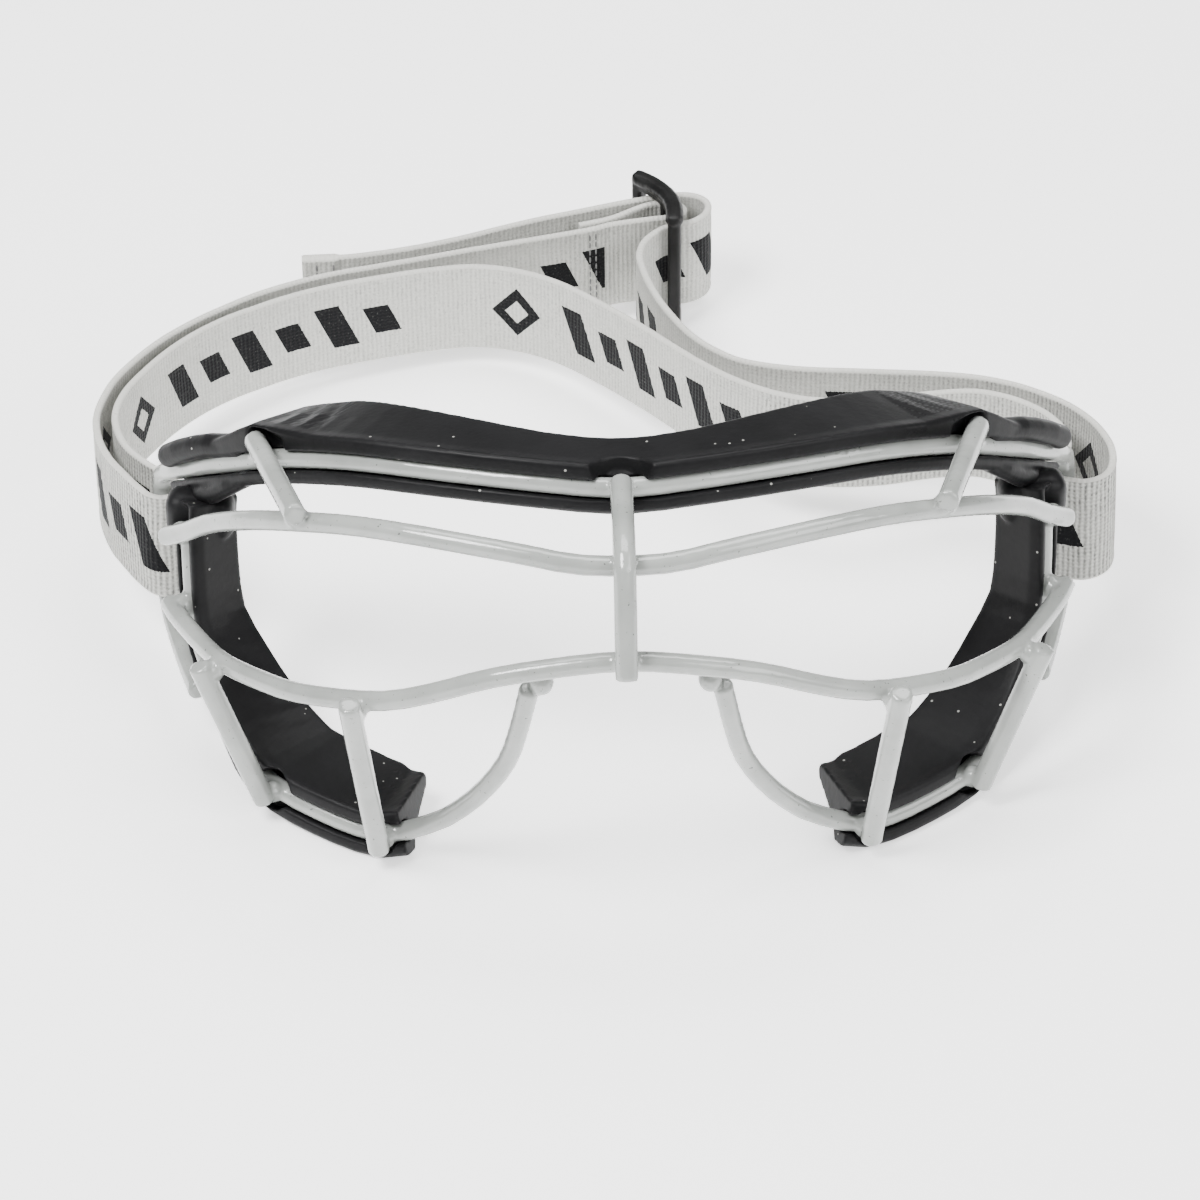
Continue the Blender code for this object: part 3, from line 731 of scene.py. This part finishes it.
def stitchRow(name, mark, side, swell, body):
    # one row across the webbing, on its outward (1) or inward (-1) face
    step = routeLength / (len(route) - 1)
    middle, up, out = frameAt(route, round(mark / step))
    lean = math.degrees(math.atan2(up.y, up.z))
    pitch = (webbing["width"] - 2 * sewing["margin"]) / sewing["stitches"]
    stitches = []
    for k in range(sewing["stitches"]):
        place = middle / mm + up * ((k + 0.5) * pitch - webbing["width"] / 2 + sewing["margin"])
        place += out * (side * (webbing["thick"] / 2 + swell - sewing["sink"]))
        size = (sewing["round"], sewing["round"], sewing["long"])
        stitches.append(bead("stitch", place, size, (-lean, 0, 0), 2))
    row = joined(name, *stitches)
    bpy.ops.object.shade_smooth()
    row.data.materials.append(sewingThread)
    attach(row, body)


def markNear(x, y, low, high):
    # how far along the route the place nearest this one is, between two marks
    step = routeLength / (len(route) - 1)
    spots = range(round(low / step), round(high / step))
    return step * min(spots, key=lambda k: (route[k] - Vector((x, y))).length)


for number, left in enumerate(sewing["hemRows"]):
    for face, side in (("Out", 1), ("In", -1)):
        stitchRow("hemStitches%s%d" % (face, number + 1), routeLength - left, side,
                  webbing["hemThick"], "tail")
for number, spot in enumerate(sewing["seamRows"]):
    for face, side in (("Out", 1), ("In", -1)):
        stitchRow("seamStitches%s%d" % (face, number + 1), markNear(*spot, *sewing["seamBetween"]), side,
                  0.0, "strap")
print("goggles: stitches sewn")


buckle = {
    "voxel": 0.00028, "relax": 6, "grow": 0.00004,
    # the top rail's rounded crown, and its size each way, mm
    "crown": ((10.6, 100.2, 26.9), (12.6, 98.4, 26.9), (14.2, 96.4, 26.9), (15.6, 94.2, 26.9),
              (16.5, 92.0, 26.9), (17.0, 89.4, 26.9), (17.1, 87.2, 26.9), (17.0, 84.9, 26.9)),
    "crownSize": (1.9, 1.9, 1.5),
}


def makeSlider():
    crown = beadChain("crown", buckle["crown"], buckle["crownSize"])
    body = joined("strapSlider", *crown, nodeCopy("strap_slider", "strapSlider"))
    melt(body, buckle["voxel"], buckle["relax"], buckle["grow"])
    body.data.materials.append(plastic)
    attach(body, "slider")
    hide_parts("strap_slider")
    return body


makeSlider()
print("goggles: slider moulded")


studio = {
    "floor": 3.0, "floorTone": (0.95, 0.95, 0.95), "floorGlow": 1.1, "sky": 0.3,
    # the camera: angles in degrees, distance and lens in mm, and its shift from the brow wire's middle
    "azimuth": -1.0, "tilt": 38.0, "distance": 850.0, "aside": -3.79, "rise": -19.31, "lens": 147.9,
    "roll": 0.6, "sensor": 36.0,
    # name, place and size in metres, and power in watts
    "lights": (("key", (-0.45, -0.35, 0.9), (0.38, 0.38), 18.0),
               ("fill", (0.6, -0.5, 0.6), (0.7, 0.5), 7.0),
               ("over", (0.05, 0.35, 1.0), (0.9, 0.5), 12.0)),
    "aim": (0, 0, 0.03),
}


def makeFloor():
    deselectAll()
    bpy.ops.mesh.primitive_plane_add(size=studio["floor"], location=(0, 0.5, -0.0002))
    floor = bpy.context.object
    floor.name = "paleFloor"
    material, shader, node, link = newMaterial("paleFloor")
    shader.inputs["Base Color"].default_value = (*studio["floorTone"], 1)
    shader.inputs["Roughness"].default_value = 0.9
    shader.inputs["Emission Color"].default_value = (1, 1, 1, 1)
    shader.inputs["Emission Strength"].default_value = studio["floorGlow"]
    floor.data.materials.append(material)


def makeLight(name, place, size, power):
    data = bpy.data.lights.new(name, "AREA")
    data.shape = "RECTANGLE"
    data.size, data.size_y = size
    data.energy = power
    light = bpy.data.objects.new(name, data)
    bpy.context.collection.objects.link(light)
    light.location = place
    light.rotation_euler = (Vector(studio["aim"]) - Vector(place)).to_track_quat("-Z", "Y").to_euler()


def makeSky():
    world = bpy.data.worlds.new("softSky")
    world.use_nodes = True
    background = world.node_tree.nodes["Background"]
    background.inputs["Color"].default_value = (1, 1, 1, 1)
    background.inputs["Strength"].default_value = studio["sky"]
    bpy.context.scene.world = world


def makeCamera():
    turn, tilt = math.radians(studio["azimuth"]), math.radians(studio["tilt"])
    back = Vector((math.sin(turn) * math.cos(tilt), -math.cos(turn) * math.cos(tilt), math.sin(tilt)))
    right = Vector((math.cos(turn), math.sin(turn), 0))
    up = back.cross(right)
    spot = browPoint(0, 0, 0) + back * (studio["distance"] * mm)
    spot += right * (studio["aside"] * mm) + up * (studio["rise"] * mm)
    data = bpy.data.cameras.new("camera")
    data.lens = studio["lens"]
    data.sensor_width = studio["sensor"]
    data.clip_start, data.clip_end = 0.05, 20
    camera = bpy.data.objects.new("camera", data)
    bpy.context.collection.objects.link(camera)
    facing = Matrix((right, up, back)).transposed().to_4x4()
    camera.matrix_world = (Matrix.Translation(spot) @ facing
                           @ Matrix.Rotation(math.radians(-studio["roll"]), 4, "Z"))
    bpy.context.scene.camera = camera


makeFloor()
makeSky()
for row in studio["lights"]:
    makeLight(*row)
makeCamera()
print("goggles: studio set")
